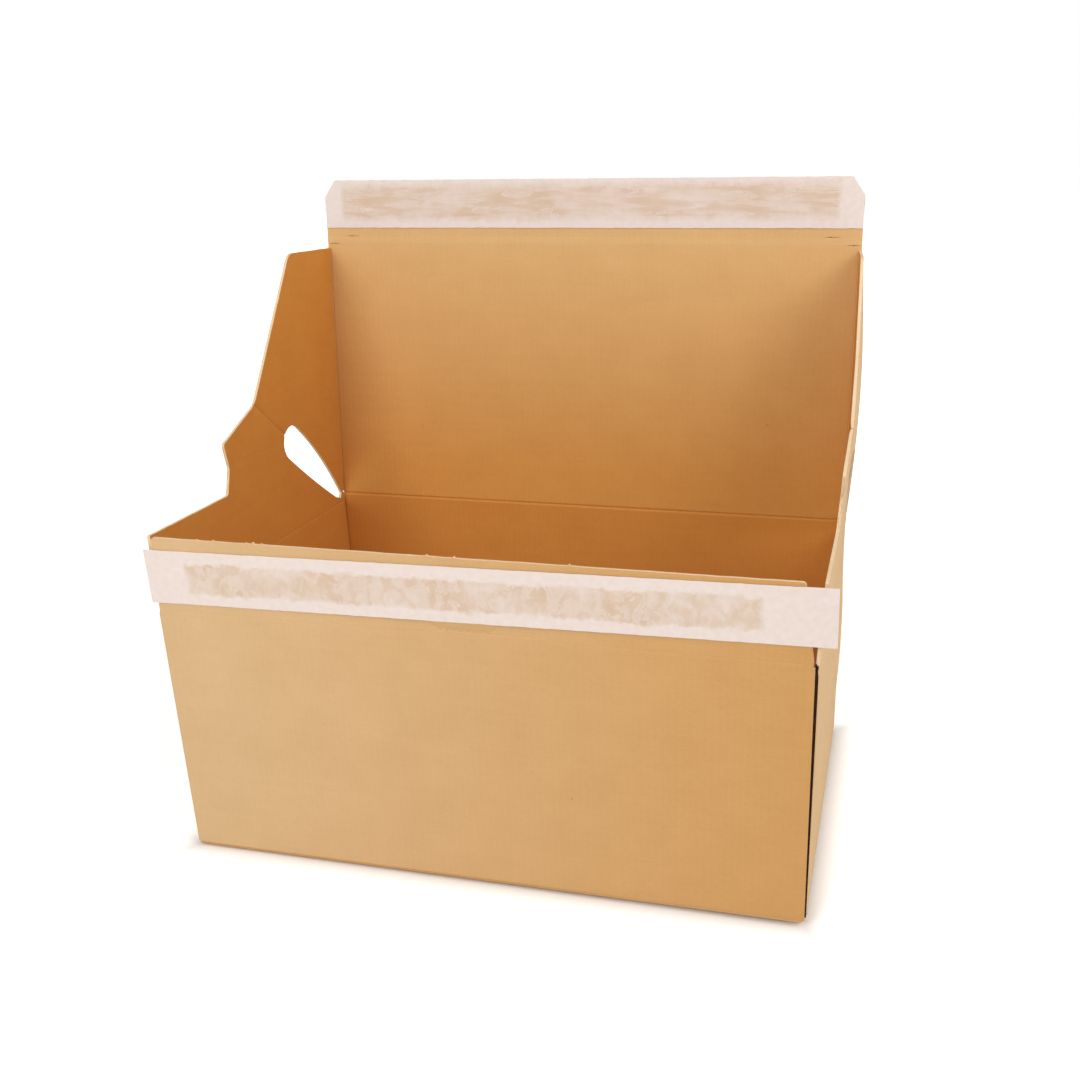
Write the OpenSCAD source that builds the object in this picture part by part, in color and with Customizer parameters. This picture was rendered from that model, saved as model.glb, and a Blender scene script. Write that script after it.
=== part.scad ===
// Corrugated mailer box, folded from one sheet, shown open with its lid standing up.
// Millimetres, +Z up, origin on the floor under the middle of the box.

/* [Box] */
// Outer width of the box, left to right
box_w = 330; // [220:5:440]
// Outer depth of the box, front to back
box_d = 205; // [150:5:260]
// Height of the side walls up to their crease
side_wall_h = 136; // [90:1:200]
// Thickness of the corrugated board
board_t = 1.6; // [1.4:0.1:2.4]
// Outer radius of the upright folds
fold_r = 1.5; // [0.8:0.1:2.4]
// Slit at the foot of the glued front right corner
seam_gap_foot = 0.8; // [0.6:0.1:2]
// Slit at the top of the glued front right corner
seam_gap_top = 1.2; // [0.8:0.1:3]
// Width of the glue tab inside the front wall
glue_tab_w = 32; // [20:1:45]

/* [Clearances] */
// Gap between a folding panel and the crease that it turns on
crease_gap = 0.5; // [0.4:0.1:1]
// Gap between panels that lie on each other when the box is shut
stack_gap = 0.4; // [0.3:0.1:1]
// Gap between the ends of the side flaps and the walls they stand between
flap_end_gap = 0.4; // [0.3:0.1:2]
// Play between the panels of the bottom
bottom_gap = 0.5; // [0.4:0.1:1]

/* [Bottom] */
// How far the hooked edges of the bottom panels pass the middle
lock_reach = 14; // [6:1:24]
// Half width of the hooked part of the bottom seam
lock_half_w = 46; // [30:1:70]
// How far the side panels of the bottom reach inwards
dust_panel_w = 74; // [50:1:90]
// Taper of the side panels of the bottom, at each corner
dust_panel_taper = 26; // [10:1:40]

/* [Lid] */
// Length of the lid from its crease to its free edge
lid_len = 196; // [140:1:240]
// Angle by which the open lid leans back from upright
lid_lean = 6; // [2:1:12]
// Cut across the two free corners of the lid, along its edge
lid_corner_w = 7; // [3:0.5:12]
// Cut across the two free corners of the lid, along its side
lid_corner_h = 10; // [3:0.5:14]

/* [Front flap] */
// Height of the front flap above its crease
front_flap_h = 39; // [30:1:60]
// Space between the front flap's foot and the sides of the box
front_flap_foot_gap = 2; // [2:0.1:6]
// Space between the front flap's top and the left side of the box
front_flap_left_gap = 3.2; // [2:0.1:12]
// Space between the front flap's top and the right side of the box
front_flap_right_gap = 6.8; // [2:0.1:14]

/* [Side flaps] */
// Height of the side flaps above their crease
side_flap_h = 41; // [30:1:60]
// Distance from the crease of the lid to the step in the side flap's top edge
side_flap_step_y = 131; // [100:1:150]
// Height of the step in the side flap's top edge
side_flap_step_h = 28; // [15:1:32]
// Angle by which the right side flap leans out from upright
right_flap_splay = 3.4; // [0:0.2:5]
// Angle of the diagonal crease above the horizontal
web_crease_angle = 40; // [38:1:43]
// Length of the diagonal crease
web_crease_len = 122; // [100:1:140]
// How far the wing reaches along the edge of the lid
wing_len = 156; // [120:0.5:170]
// Depth of the wing at its upper end
wing_tip_w = 52; // [25:1:60]
// How far the wing's upper edge drops towards its corner
wing_tip_drop = 4.6; // [0:0.2:8]
// Radius of the wing's upper corner
wing_tip_r = 9; // [4:1:14]
// Distance from the crease of the lid to the centre of the teardrop hole's round end
tear_hole_len = 74; // [50:1:85]
// Radius of the teardrop hole's round end
tear_hole_r = 10.5; // [5:0.5:12]
// Angle of the teardrop hole above the horizontal
tear_hole_angle = 40; // [39:1:43]

/* [Adhesive strips] */
// Width of each liner strip
liner_w = 28; // [22:1:32]
// Width of each band of adhesive
glue_w = 19; // [12:1:21]
// Thickness of the adhesive
glue_t = 0.3; // [0.3:0.1:0.5]
// Thickness of the liner
liner_t = 0.2; // [0.2:0.1:0.4]
// Distance from the front crease to the liner, at its left end
front_liner_rise = 4.6; // [2:0.2:8]
// Angle at which the front strip climbs to the right
front_liner_slant = 0.8; // [0:0.1:1]
// How far the front liner runs past the right side of the box
front_liner_overhang = 8; // [0:0.2:12]
// How far the front liner runs past the left side of the box
front_liner_start = 1.5; // [0:0.1:4]
// Distance from the ends of the front adhesive to the ends of the front flap
front_glue_inset = 20; // [10:1:30]
// Distance from the ends of the lid's adhesive to the sides of the box
lid_glue_inset = 14; // [11:1:30]

/* [Tear tape] */
// Width of the tear tape
tear_tape_w = 4; // [3:0.5:6]
// Thickness of the tear tape
tear_tape_t = 0.2; // [0.2:0.05:0.3]
// Distance from the lid's liner to the tear tape
tear_tape_drop = 5; // [3:0.5:10]
// Length of each of the two nicks that start the tear tape
nick_len = 9; // [6:0.5:14]
// Width of the nicks
nick_w = 0.5; // [0.4:0.1:1]

/* [Hidden] */

round_fn = 48;
corner_steps = 7;
hole_steps = 18;
hole_upper_bow = 1.3;
hole_lower_bow = 0.4;
hole_nose = [[0.86, 0], [0.33, -0.16], [0.29, -0.5]] * tear_hole_r;
board_colour = [0.83, 0.66, 0.43];
board_inner_colour = [0.80, 0.60, 0.36];
liner_colour = [0.93, 0.89, 0.86];
glue_colour = [0.90, 0.80, 0.68];
tape_colour = [0.86, 0.78, 0.64];

half_w = box_w / 2;
half_d = box_d / 2;
strip_t = glue_t + liner_t;
front_crease_z = side_wall_h + board_t + stack_gap;
lid_crease_z = front_crease_z + board_t + 2 * strip_t + stack_gap;
lid_crease_y = half_d - board_t;
front_crease_y = -half_d + board_t;
side_crease_x = half_w - board_t;
small_r = 2;

// Point on a ray from the lid's crease, by length and angle above the horizontal
function from_crease(len, angle) = [lid_crease_y - len * cos(angle), lid_crease_z + len * sin(angle)];

// Point in the plane of a side, s up along the lid and w forwards from its inner face
function lid_point(s, w) = [
    lid_crease_y + s * sin(lid_lean) - w * cos(lid_lean),
    lid_crease_z + s * cos(lid_lean) + w * sin(lid_lean)
];

function unit(v) = v / norm(v);

// Arc of radius b[2] that rounds the corner b between its neighbours a and c
function corner_arc(a, b, c) =
    let (p = [b[0], b[1]], u = unit([a[0] - b[0], a[1] - b[1]]), v = unit([c[0] - b[0], c[1] - b[1]]))
    let (half = acos(u * v) / 2, back = b[2] / tan(half), centre = p + unit(u + v) * b[2] / sin(half))
    let (start = p + u * back - centre, turn = 180 - 2 * half, way = sign(u[0] * v[1] - u[1] * v[0]))
    [for (i = [0 : corner_steps])
        let (q = -way * turn * i / corner_steps)
        centre + [start[0] * cos(q) - start[1] * sin(q), start[0] * sin(q) + start[1] * cos(q)]];

// Outline whose corners are [x, y, radius]
function outline(pts) =
    let (n = len(pts))
    [for (i = [0 : n - 1]) each (pts[i][2] > 0
        ? corner_arc(pts[(i + n - 1) % n], pts[i], pts[(i + 1) % n])
        : [[pts[i][0], pts[i][1]]])];

function corner(p, r) = [p[0], p[1], r];

web_tip = from_crease(web_crease_len, web_crease_angle);
step_y = lid_crease_y - side_flap_step_y;
flap_top_z = side_wall_h + side_flap_h;
web_gap = [sin(web_crease_angle), cos(web_crease_angle)] * crease_gap / 2;
web_tip_reach = web_crease_len * cos(web_crease_angle - lid_lean);
right_wing_splay = asin((web_tip[1] - side_wall_h) * sin(right_flap_splay) / web_tip_reach);
wing_fold = [side_crease_x, lid_point(0, -board_t)[0], lid_point(0, -board_t)[1]];

// Puts an outline drawn as (y, z) into the left side's plane, one board thick
module left_panel(points) {
    translate([-half_w, 0, 0]) rotate([90, 0, 90]) linear_extrude(board_t) polygon(points);
}

// Half width of the teardrop hole at a distance from the crease of the lid
function hole_half(x, bow) = tear_hole_r * (1 - bow * pow(1 - x / tear_hole_len, 2));

// Teardrop that frees the corner where lid, wing and side flap meet, blunt at its lower end
module tear_hole() {
    start = hole_nose[0][0];
    along = [for (i = [0 : hole_steps]) start + (tear_hole_len - start) * i / hole_steps];
    upper = [for (i = [1 : hole_steps]) [along[i], hole_half(along[i], hole_upper_bow)]];
    lower = [for (i = [hole_steps : -1 : 0]) [along[i], -hole_half(along[i], hole_lower_bow)]];
    nose = [hole_nose[2], hole_nose[1], hole_nose[0]];
    translate([-half_w - board_t, 0, 0]) rotate([90, 0, 90]) linear_extrude(3 * board_t)
        translate([lid_crease_y, lid_crease_z]) mirror([1, 0]) rotate(tear_hole_angle) {
            polygon(concat(upper, lower, nose));
            translate([tear_hole_len, 0]) circle(tear_hole_r, $fn = round_fn);
        }
}

module rounded_plan() {
    union() {
        square([box_w - 2 * fold_r, box_d], center = true);
        square([box_w, box_d - 2 * fold_r], center = true);
        for (x = [-1, 1], y = [-1, 1])
            translate([x * (half_w - fold_r), y * (half_d - fold_r)]) circle(fold_r, $fn = round_fn);
    }
}

// Plan of the side and back walls, with the right wall's fold into the glue tab
module wall_plan() {
    difference() {
        rounded_plan();
        square([box_w - 2 * board_t, box_d - 2 * board_t], center = true);
        translate([-half_w + board_t, -half_d - 1]) square([box_w, board_t + 1 + fold_r]);
    }
    translate([half_w - glue_tab_w, front_crease_y]) square([glue_tab_w - fold_r, board_t]);
    translate([half_w - board_t, front_crease_y + fold_r]) square([board_t, board_t]);
    intersection() {
        translate([half_w - fold_r, front_crease_y + fold_r]) circle(fold_r, $fn = round_fn);
        translate([half_w - fold_r, front_crease_y]) square(fold_r);
    }
}

module front_wall() {
    intersection() {
        linear_extrude(front_crease_z) intersection() {
            rounded_plan();
            translate([-half_w, -half_d]) square([box_w, board_t]);
        }
        rotate([90, 0, 0]) linear_extrude(box_d) polygon([
            [-half_w, 0],
            [half_w - seam_gap_foot, 0],
            [half_w - seam_gap_top, front_crease_z],
            [-half_w, front_crease_z]
        ]);
    }
}

module back_wall() {
    linear_extrude(lid_crease_z) intersection() {
        rounded_plan();
        translate([-half_w, half_d - board_t]) square([box_w, board_t]);
    }
}

// Front and back bottom panels, hooked into each other along a stepped seam
module main_bottom_panels() {
    inner_w = box_w - 2 * board_t - 2 * bottom_gap;
    inner_d = box_d - 2 * board_t;
    seam = [
        [-half_w, lock_reach], [-lock_half_w, lock_reach], [-lock_half_w / 2, -lock_reach],
        [lock_half_w / 2, -lock_reach], [lock_half_w, lock_reach], [half_w, lock_reach]
    ];
    linear_extrude(board_t) difference() {
        square([inner_w, inner_d], center = true);
        polygon(concat(seam, [for (i = [len(seam) - 1 : -1 : 0]) seam[i] + [0, bottom_gap]]));
    }
}

// Bottom panel of the left wall, glued on top of the two main panels
module left_dust_panel() {
    near_y = half_d - board_t - bottom_gap;
    far_y = near_y - dust_panel_taper;
    reach_x = -side_crease_x + dust_panel_w;
    translate([0, 0, board_t]) linear_extrude(board_t) polygon([
        [-side_crease_x, -near_y + board_t], [-side_crease_x, near_y],
        [reach_x - dust_panel_taper, near_y], [reach_x, far_y],
        [reach_x, -far_y], [reach_x - dust_panel_taper, -near_y + board_t]
    ]);
}

module carton() color(board_colour) {
    linear_extrude(side_wall_h) wall_plan();
    front_wall();
    back_wall();
    main_bottom_panels();
    left_dust_panel();
    mirror([1, 0, 0]) left_dust_panel();
}

// Lid frame: x across, y up along the lid, z towards the inside, from the inner face
module on_lid() {
    translate([0, lid_crease_y, lid_crease_z]) rotate([-lid_lean, 0, 0]) rotate([90, 0, 0]) children();
}

// Front edge of the lid with its two clipped corners, down to a distance from the crease
module lid_end_outline(from_s) {
    polygon(outline([
        [-half_w, from_s, 0],
        [half_w, from_s, 0],
        [half_w, lid_len - lid_corner_h, small_r],
        [half_w - lid_corner_w, lid_len, small_r],
        [-half_w + lid_corner_w, lid_len, small_r],
        [-half_w, lid_len - lid_corner_h, small_r]
    ]));
}

tape_s = lid_len - liner_w - tear_tape_drop - tear_tape_w;

// Two short cuts that free the end of the tear tape
module nicks() {
    translate([half_w - nick_len, tape_s - nick_w]) square([nick_len + 1, nick_w]);
    translate([half_w - 2.5 * nick_len, tape_s + tear_tape_w]) square([nick_len * 1.2, nick_w]);
}

module lid() color(board_inner_colour) {
    on_lid() translate([0, 0, -board_t]) linear_extrude(board_t) difference() {
        union() {
            translate([-side_crease_x, crease_gap]) square([2 * side_crease_x, wing_len]);
            lid_end_outline(wing_len);
        }
        nicks();
        mirror([1, 0]) nicks();
    }
}

module front_flap() color(board_colour) {
    foot_x = half_w - front_flap_foot_gap;
    translate([0, front_crease_y, 0]) rotate([90, 0, 0]) linear_extrude(board_t) polygon(outline([
        [-foot_x, front_crease_z + crease_gap, 0],
        [foot_x, front_crease_z + crease_gap, 0],
        [half_w - front_flap_right_gap, front_crease_z + front_flap_h, small_r],
        [-half_w + front_flap_left_gap, front_crease_z + front_flap_h, small_r]
    ]));
}

// Side flap with the lower half of the folding web, up to the diagonal crease
module side_flap() {
    near_y = front_crease_y + flap_end_gap;
    far_y = lid_crease_y - flap_end_gap;
    step_z = flap_top_z + side_flap_step_h;
    difference() {
        left_panel(outline([
            [near_y, side_wall_h + crease_gap, 0],
            [far_y, side_wall_h + crease_gap, 0],
            [far_y, lid_crease_z + flap_end_gap * tan(web_crease_angle) - web_gap[1], 0],
            corner(web_tip - web_gap, 0),
            [step_y + 0.09 * side_flap_step_h, step_z, small_r],
            [step_y + 0.18 * side_flap_step_h, step_z - side_flap_step_h / 2, 4 * small_r],
            [step_y, flap_top_z, small_r],
            [near_y, flap_top_z, small_r / 3]
        ]));
        tear_hole();
    }
}

// Wing on the edge of the lid, with the upper half of the folding web
module lid_wing() {
    difference() {
        left_panel(outline([
            corner(lid_point(crease_gap, 0) + web_gap, 0),
            corner(lid_point(crease_gap, -board_t), 0),
            corner(lid_point(wing_len, -board_t), 0),
            corner(lid_point(wing_len, 0), 0),
            corner(lid_point(wing_len - wing_tip_drop, wing_tip_w), wing_tip_r),
            corner(web_tip + web_gap, 0)
        ]));
        tear_hole();
    }
}

module left_side_flap() color(board_inner_colour) side_flap();
module right_side_flap() color(board_inner_colour) {
    translate([side_crease_x, 0, side_wall_h]) rotate([0, right_flap_splay, 0])
        translate([-side_crease_x, 0, -side_wall_h]) mirror([1, 0, 0]) side_flap();
}

module left_lid_wing() color(board_inner_colour) lid_wing();

// Turned on the lid's edge so that its half of the web meets the leaning flap's
module right_lid_wing() color(board_inner_colour) {
    translate(wing_fold) rotate([-lid_lean, 0, 0]) rotate([0, 0, right_wing_splay]) rotate([lid_lean, 0, 0])
        translate(-wing_fold) mirror([1, 0, 0]) lid_wing();
}

module lid_adhesive() color(glue_colour) {
    on_lid() linear_extrude(glue_t)
        translate([-half_w + lid_glue_inset, lid_len - (liner_w + glue_w) / 2])
            square([box_w - 2 * lid_glue_inset, glue_w]);
}

module lid_liner() color(liner_colour) {
    on_lid() translate([0, 0, glue_t]) linear_extrude(liner_t) lid_end_outline(lid_len - liner_w);
}

// Front strip frame: x from the box's left side, y up from the front crease, z outwards
module on_front_flap() {
    translate([-half_w, -half_d, front_crease_z]) rotate([90, 0, 0]) children();
}

module front_adhesive() color(glue_colour) {
    start_x = front_flap_left_gap + front_glue_inset;
    end_x = box_w - front_flap_right_gap - front_glue_inset;
    on_front_flap() linear_extrude(glue_t) translate([0, front_liner_rise + (liner_w - glue_w) / 2])
        rotate(front_liner_slant) translate([start_x, 0]) square([end_x - start_x, glue_w]);
}

module front_liner() color(liner_colour) {
    whole_w = front_liner_start + box_w + front_liner_overhang;
    on_front_flap() translate([0, 0, glue_t]) linear_extrude(liner_t) translate([0, front_liner_rise])
        rotate(front_liner_slant) translate([-front_liner_start, 0]) square([whole_w, liner_w]);
}

module tear_tape() color(tape_colour) {
    on_lid() linear_extrude(tear_tape_t)
        translate([-half_w, tape_s]) square([box_w, tear_tape_w]);
}

carton();
lid();
front_flap();
left_side_flap();
right_side_flap();
left_lid_wing();
right_lid_wing();
lid_adhesive();
lid_liner();
front_adhesive();
front_liner();
tear_tape();
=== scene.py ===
import math
import random

import bmesh
import bpy
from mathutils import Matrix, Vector, geometry, noise


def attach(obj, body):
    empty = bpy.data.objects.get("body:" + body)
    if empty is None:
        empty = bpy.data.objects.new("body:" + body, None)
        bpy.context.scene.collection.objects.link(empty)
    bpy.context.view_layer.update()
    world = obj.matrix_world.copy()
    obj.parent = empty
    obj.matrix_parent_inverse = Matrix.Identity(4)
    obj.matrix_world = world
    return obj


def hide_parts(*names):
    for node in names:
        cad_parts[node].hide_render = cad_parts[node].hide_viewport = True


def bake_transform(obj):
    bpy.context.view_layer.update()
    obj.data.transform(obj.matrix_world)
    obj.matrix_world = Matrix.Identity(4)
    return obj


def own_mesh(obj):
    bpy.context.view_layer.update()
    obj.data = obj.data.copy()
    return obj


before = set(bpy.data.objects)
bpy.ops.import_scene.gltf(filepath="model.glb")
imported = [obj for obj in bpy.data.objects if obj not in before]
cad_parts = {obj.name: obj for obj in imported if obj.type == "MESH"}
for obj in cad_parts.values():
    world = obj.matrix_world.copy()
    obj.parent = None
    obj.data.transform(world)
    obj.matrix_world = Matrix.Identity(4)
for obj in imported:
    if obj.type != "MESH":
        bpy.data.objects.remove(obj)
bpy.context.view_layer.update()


# ---- Walls of the box ------------------------------------------------------------------
# One strip of single-wall corrugated board, kraft paper on both faces and fluted paper
# between them, scored and folded round four upright corners. A tab on the right wall is
# glued behind the front wall's raw edge, and that corner has sprung open a little.
BOX_W, BOX_D = 0.330, 0.205
HALF_W, HALF_D = BOX_W / 2, BOX_D / 2
BOARD_T = 0.0016
PAPER_T = 0.00026
MEDIUM_T = 0.0002
FLUTE_PITCH = 0.0034
FOLD_R = 0.0021
FRONT_CREASE_Z, SIDE_CREASE_Z, LID_CREASE_Z = 0.138, 0.136, 0.141
LID_CREASE_Y, FRONT_CREASE_Y = 0.1009, -0.1009
CREASE_HALF = 0.0012
GLUE_TAB_W = 0.032
KRAFT, KRAFT_INSIDE, CUT_EDGE, FLUTING = range(4)


def wire(tree, kind, inputs=(), **settings):
    """Adds a node with its settings, and links or sets the named inputs."""
    node = tree.nodes.new("ShaderNode" + kind)
    for name, value in settings.items():
        setattr(node, name, value)
    for key, value in dict(inputs).items():
        if isinstance(value, bpy.types.NodeSocket):
            tree.links.new(value, node.inputs[key])
        else:
            node.inputs[key].default_value = value
    return node


def math_node(tree, operation, a, b=0.0, clamp=False):
    return wire(tree, "Math", {0: a, 1: b}, operation=operation, use_clamp=clamp).outputs[0]


def plus(tree, a, b, clamp=False):
    return math_node(tree, "ADD", a, b, clamp)


def minus(tree, a, b):
    return math_node(tree, "SUBTRACT", a, b)


def times(tree, a, b, clamp=False):
    return math_node(tree, "MULTIPLY", a, b, clamp)


def noise_map(tree, place, scale, detail, **more):
    return wire(tree, "TexNoise", {"Vector": place, "Scale": scale, "Detail": detail, **more}).outputs[0]


def mix_colour(tree, factor, a, b):
    return wire(tree, "Mix", {0: factor, 6: a, 7: b}, data_type="RGBA").outputs[2]


def ramp(tree, value, low, high, to_low=0.0, to_high=1.0):
    """Turns the range low to high of a value into to_low to to_high, clamped."""
    node = wire(tree, "MapRange", {0: value, 1: low, 2: high, 3: to_low, 4: to_high})
    node.clamp = True
    return node.outputs[0]


def paper_group():
    """Kraft paper's look in metres: cloudy formation, fibres, specks and the flutes behind it."""
    group = bpy.data.node_groups.new("kraft paper", "ShaderNodeTree")
    for side, kind, names in (("INPUT", "Vector", ("Place",)), ("INPUT", "Color", ("Light", "Dark")),
                              ("INPUT", "Float", ("Fold", "Washboard", "Wear")),
                              ("OUTPUT", "Color", ("Color",)), ("OUTPUT", "Float", ("Roughness", "Height"))):
        for name in names:
            group.interface.new_socket(name=name, in_out=side, socket_type="NodeSocket" + kind)
    inn = group.nodes.new("NodeGroupInput").outputs
    out = group.nodes.new("NodeGroupOutput")
    place = inn["Place"]
    cloud = noise_map(group, place, 38.0, 4.0, Roughness=0.62)
    bands = wire(group, "Mapping", {"Vector": place, "Scale": (14.0, 260.0, 14.0)})
    band = noise_map(group, bands.outputs[0], 1.0, 3.0, Roughness=0.6)
    fibre_a = wire(group, "Mapping",
                   {"Vector": place, "Rotation": (0, 0, 0.35), "Scale": (380.0, 2600.0, 900.0)})
    fibre_b = wire(group, "Mapping",
                   {"Vector": place, "Rotation": (0, 0, -0.5), "Scale": (300.0, 2300.0, 900.0)})
    a = noise_map(group, fibre_a.outputs[0], 1.0, 2.0, Distortion=0.6)
    b = noise_map(group, fibre_b.outputs[0], 1.0, 2.0, Distortion=0.6)
    fibre = times(group, plus(group, a, b), 0.5)
    tone = times(group, ramp(group, cloud, 0.3, 0.7), 0.45)
    tone = plus(group, tone, times(group, ramp(group, fibre, 0.36, 0.64), 0.4))
    tone = plus(group, tone, times(group, ramp(group, band, 0.35, 0.65), 0.15))
    split = wire(group, "SeparateXYZ", {0: place}).outputs
    wave = math_node(group, "SINE", times(group, split[0], 2 * math.pi / FLUTE_PITCH))
    wave = times(group, wave, inn["Washboard"])
    tone = plus(group, tone, times(group, wave, 0.045), clamp=True)
    colour = mix_colour(group, tone, inn["Dark"], inn["Light"])
    spots = wire(group, "TexVoronoi",
                 {"Vector": place, "Scale": 95.0, "Randomness": 1.0}, feature="F1")
    chance = wire(group, "SeparateColor", {0: spots.outputs["Color"]}).outputs[0]
    size = ramp(group, chance, 0.94, 1.0, 0.0, 0.07)
    speck = math_node(group, "LESS_THAN", spots.outputs["Distance"], size)
    speck = times(group, speck, 0.42)
    colour = mix_colour(group, speck, colour, (0.13, 0.06, 0.022, 1))
    worn = noise_map(group, place, 620.0, 4.0)
    worn = times(group, ramp(group, worn, 0.42, 0.6), ramp(group, inn["Fold"], 0.45, 1.0))
    colour = mix_colour(group, times(group, worn, inn["Wear"]), colour, (0.80, 0.60, 0.36, 1))
    group.links.new(colour, out.inputs["Color"])
    group.links.new(ramp(group, fibre, 0.3, 0.7, 0.92, 0.74), out.inputs["Roughness"])
    height = plus(group, times(group, wave, 0.5), times(group, fibre, 0.6))
    height = minus(group, height, times(group, worn, 0.5))
    group.links.new(height, out.inputs["Height"])
    return group


PAPER_LOOK = paper_group()


def dress(tree, shader, colour, roughness, height, depth, strength):
    """Gives a shader its colour, its roughness and a fine relief of a depth in metres."""
    bump = wire(tree, "Bump", {"Height": height, "Distance": depth, "Strength": strength}).outputs[0]
    for name, value in (("Base Color", colour), ("Roughness", roughness), ("Normal", bump)):
        tree.links.new(value, shader.inputs[name])


def principled(name):
    material = bpy.data.materials.new(name)
    material.use_nodes = True
    tree = material.node_tree
    return material, tree, tree.nodes["Principled BSDF"]


def kraft(name, light, dark, washboard=0.8, depth=0.00005, wear=0.35, shade_ramp=None):
    """Uncoated kraft paper over the flutes. Its tones may ramp to others along the sheet, and that ramp is
    painted light and shade.
    """
    material, tree, shader = principled(name)
    place = wire(tree, "UVMap", uv_map="board").outputs[0]
    fold = wire(tree, "Attribute", attribute_name="fold").outputs["Fac"]
    node = tree.nodes.new("ShaderNodeGroup")
    node.node_tree = PAPER_LOOK
    tree.links.new(place, node.inputs["Place"])
    tree.links.new(fold, node.inputs["Fold"])
    # The ramp paints light and shade into the colour: paler where the lamps fall more, deeper where less.
    if shade_ramp:
        axis, start, end, light_there, dark_there = shade_ramp
        part = wire(tree, "SeparateXYZ", {0: place}).outputs[axis]
        t = ramp(tree, part, start, end)
        tree.links.new(mix_colour(tree, t, (*light, 1), (*light_there, 1)), node.inputs["Light"])
        tree.links.new(mix_colour(tree, t, (*dark, 1), (*dark_there, 1)), node.inputs["Dark"])
    else:
        node.inputs["Light"].default_value = (*light, 1)
        node.inputs["Dark"].default_value = (*dark, 1)
    node.inputs["Washboard"].default_value = washboard
    node.inputs["Wear"].default_value = wear
    look = node.outputs
    dress(tree, shader, look["Color"], look["Roughness"], look["Height"], depth, 0.8)
    shader.inputs["Specular IOR Level"].default_value = 0.3
    return material


# Painted light: the front wall is painted deeper and darker towards its right end (u 0) and paler to its
# left, for the lamp on the left lighting it more and giving it a sheen there. The other walls keep the paler
# tones.
KRAFT_WALL_PAINTED_LIGHT = kraft("kraft of the walls, front painted darker to its right", (0.665, 0.365, 0.130), (0.600, 0.315, 0.105), wear=0.1,
                   shade_ramp=(0, 0.0, 0.30, (0.735, 0.500, 0.268), (0.665, 0.435, 0.222)))
KRAFT_OUT = kraft("kraft outside", (0.735, 0.510, 0.290), (0.665, 0.445, 0.240))
# Painted shade: the inside paper is painted a deeper, more saturated orange than the outside, for the warm
# shade and bounced light inside the box.
KRAFT_IN_PAINTED_SHADE = kraft("kraft inside", (0.720, 0.325, 0.066), (0.630, 0.268, 0.049), wear=0.12)
EDGE_PAPER = kraft("cut paper edge", (0.900, 0.730, 0.500), (0.800, 0.590, 0.360), 0.0, 0.00003)
FLUTE_PAPER = kraft("fluted paper", (0.700, 0.440, 0.210), (0.560, 0.330, 0.145), 0.0, 0.00003)
BOARD_SKINS = (KRAFT_OUT, KRAFT_IN_PAINTED_SHADE, EDGE_PAPER, FLUTE_PAPER)
WALL_SKINS = (KRAFT_WALL_PAINTED_LIGHT, KRAFT_IN_PAINTED_SHADE, EDGE_PAPER, FLUTE_PAPER)


def within(u, v, loops):
    """Even and odd crossings: is the point on the board?"""
    inside = False
    for loop in loops:
        for (u0, v0), (u1, v1) in zip(loop, loop[1:] + loop[:1]):
            if (v0 > v) != (v1 > v) and u < u0 + (v - v0) * (u1 - u0) / (v1 - v0):
                inside = not inside
    return inside


def cut_to_outline(loops, cuts):
    """Triangles that fill an outline, with edges along the given cut lines."""
    points, edges = [], []
    for loop in loops:
        start = len(points)
        points += [Vector(p) for p in loop]
        edges += [(start + i, start + (i + 1) % len(loop)) for i in range(len(loop))]
    for a, b in cuts:
        edges.append((len(points), len(points) + 1))
        points += [Vector(a), Vector(b)]
    flat, _, faces, _, _, _ = geometry.delaunay_2d_cdt(points, edges, [], 0, 1e-7)
    kept = []
    for face in faces:
        centre = sum((flat[i] for i in face), Vector((0, 0))) / len(face)
        if within(centre.x, centre.y, loops):
            kept.append(list(face))
    return flat, kept


def fold_distance(u, v, folds):
    best = 1.0
    for (u0, v0), (u1, v1) in folds:
        du, dv = u1 - u0, v1 - v0
        t = max(0.0, min(1.0, ((u - u0) * du + (v - v0) * dv) / (du * du + dv * dv)))
        best = min(best, math.hypot(u - u0 - t * du, v - v0 - t * dv))
    return best


def lines_beside(folds, offsets):
    """Cut lines that run along each fold at the given distances on both sides."""
    lines = []
    for (u0, v0), (u1, v1) in folds:
        length = math.hypot(u1 - u0, v1 - v0)
        nu, nv = -(v1 - v0) / length, (u1 - u0) / length
        for d in offsets:
            lines.append(((u0 + nu * d, v0 + nv * d), (u1 + nu * d, v1 + nv * d)))
    return lines


FOLD_OFFSETS = [s * d for d in (0.0006, 0.0012, 0.0022, 0.0045) for s in (-1, 1)] + [0.0]


def paper_sheet(bm, flat, faces, place, low, high, folds, skins):
    """One paper of the board as a thin closed solid, from height low to height high."""
    uv = bm.loops.layers.uv.verify()
    fold = bm.verts.layers.float.get("fold") or bm.verts.layers.float.new("fold")
    layers = []
    for height in (low, high):
        row = []
        for p in flat:
            vert = bm.verts.new(place(p.x, p.y, height))
            vert[fold] = math.exp(-fold_distance(p.x, p.y, folds) / 0.0014) if folds else 0.0
            row.append(vert)
        layers.append(row)
    below, above = layers

    def face(corners, indices, skin):
        made = bm.faces.new(corners)
        made.material_index = skin
        made.smooth = True
        for loop, i in zip(made.loops, indices):
            loop[uv].uv = flat[i]

    sides = {}
    for tri in faces:
        face([above[i] for i in tri], tri, skins[1])
        face([below[i] for i in reversed(tri)], list(reversed(tri)), skins[0])
        for i, j in zip(tri, tri[1:] + tri[:1]):
            sides[(i, j)] = sides.get((i, j), 0) + 1
    for i, j in sides:
        if (j, i) not in sides:
            face([below[i], below[j], above[j], above[i]], (i, j, j, i), CUT_EDGE)
    for row in layers:
        for vert in row:
            if not vert.link_faces:
                bm.verts.remove(vert)


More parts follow.
